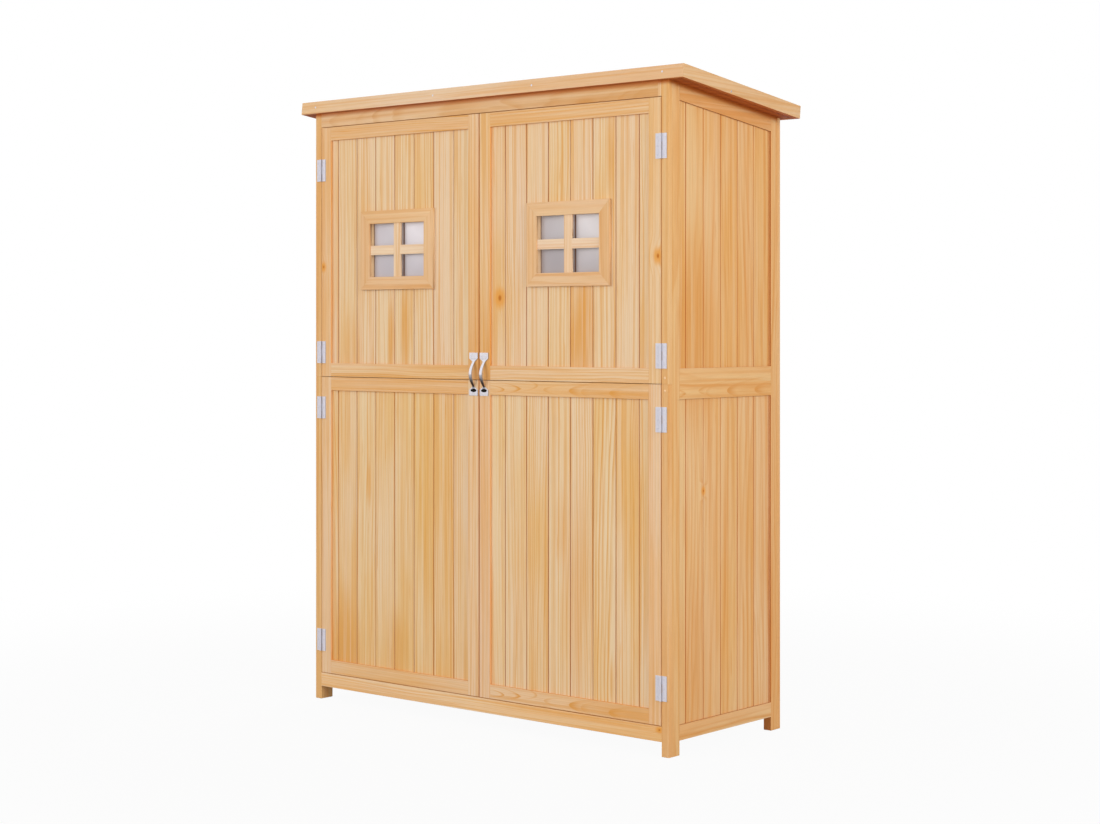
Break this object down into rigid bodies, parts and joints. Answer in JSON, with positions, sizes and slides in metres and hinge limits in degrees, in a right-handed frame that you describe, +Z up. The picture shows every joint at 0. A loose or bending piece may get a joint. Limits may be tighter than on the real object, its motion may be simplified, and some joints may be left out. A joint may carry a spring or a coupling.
{
  "type": "garden storage cabinet",
  "caption": "Wooden garden storage cabinet with hinged double doors, small windows, tongue-and-groove panels, sloping roof and short feet.",
  "frame": {"origin": "on the ground under the middle of the bounding box", "axes": "+X to the right along the front, +Y from the doors to the back, +Z up"},
  "size_m": [1.31, 0.5084, 1.64],
  "materials": {
    "frame_wood": "clear oiled pine or fir, planed, satin",
    "board_wood": "clear oiled tongue-and-groove boards, planed, satin",
    "window_wood": "clear oiled trim, planed, satin",
    "roof_trim_wood": "clear oiled fascia boards, planed, satin",
    "inner_wood": "plain planed wood",
    "hinge_metal": "zinc plated, pale",
    "handle_chrome": "bright plated",
    "steel_plate": "zinc plated",
    "catch_plastic": "moulded brown plastic",
    "window_pane": "hazy acrylic sheet",
    "roof_felt": "mineral surfaced bitumen felt"
  },
  "bodies": {
    "root": {"back_boards": "board_wood", "back_rails": "frame_wood", "back_stiles": "frame_wood", "door_catches": "catch_plastic", "floor_battens": "inner_wood", "floor_boards": "inner_wood", "front_bottom_rail": "frame_wood", "front_header_filler": "frame_wood", "front_header_rail": "frame_wood", "hinge_pins": "hinge_metal", "left_front_post_lower": "frame_wood", "left_front_post_upper": "frame_wood", "left_hinge_frame_leaves": "hinge_metal", "left_side_lower_boards": "board_wood", "left_side_rails": "frame_wood", "left_side_stiles": "frame_wood", "left_side_upper_boards": "board_wood", "right_front_post_lower": "frame_wood", "right_front_post_upper": "frame_wood", "right_hinge_frame_leaves": "hinge_metal", "right_side_lower_boards": "board_wood", "right_side_rails": "frame_wood", "right_side_stiles": "frame_wood", "right_side_upper_boards": "board_wood", "roof_back_fascia": "roof_trim_wood", "roof_battens": "inner_wood", "roof_deck": "inner_wood", "roof_felt": "roof_felt", "roof_front_fascia": "roof_trim_wood", "roof_left_fascia": "roof_trim_wood", "roof_right_fascia": "roof_trim_wood", "shelf_boards": "inner_wood", "shelf_cleats": "inner_wood"},
    "left_door": {"left_door_handle": "handle_chrome", "left_door_joining_plates": "steel_plate", "left_door_lower_boards": "board_wood", "left_door_lower_rails": "frame_wood", "left_door_lower_stiles": "frame_wood", "left_door_strike_plate": "steel_plate", "left_door_upper_boards": "board_wood", "left_door_upper_rails": "frame_wood", "left_door_upper_stiles": "frame_wood", "left_hinge_door_leaves": "hinge_metal", "left_window_frame": "window_wood", "left_window_glazing_bars": "window_wood", "left_window_pane": "window_pane"},
    "right_door": {"right_door_handle": "handle_chrome", "right_door_joining_plates": "steel_plate", "right_door_lower_boards": "board_wood", "right_door_lower_rails": "frame_wood", "right_door_lower_stiles": "frame_wood", "right_door_strike_plate": "steel_plate", "right_door_upper_boards": "board_wood", "right_door_upper_rails": "frame_wood", "right_door_upper_stiles": "frame_wood", "right_hinge_door_leaves": "hinge_metal", "right_window_frame": "window_wood", "right_window_glazing_bars": "window_wood", "right_window_pane": "window_pane"}
  },
  "joints": [
    {"name": "left_door_hinge", "type": "hinge", "parent": "root", "child": "left_door", "pos_m": [-0.58425, -0.24075, 0.8], "axis": [0, 0, -1], "range_deg": [0, 180]},
    {"name": "right_door_hinge", "type": "hinge", "parent": "root", "child": "right_door", "pos_m": [0.58425, -0.24075, 0.8], "axis": [0, 0, 1], "range_deg": [0, 180]}
  ]
}
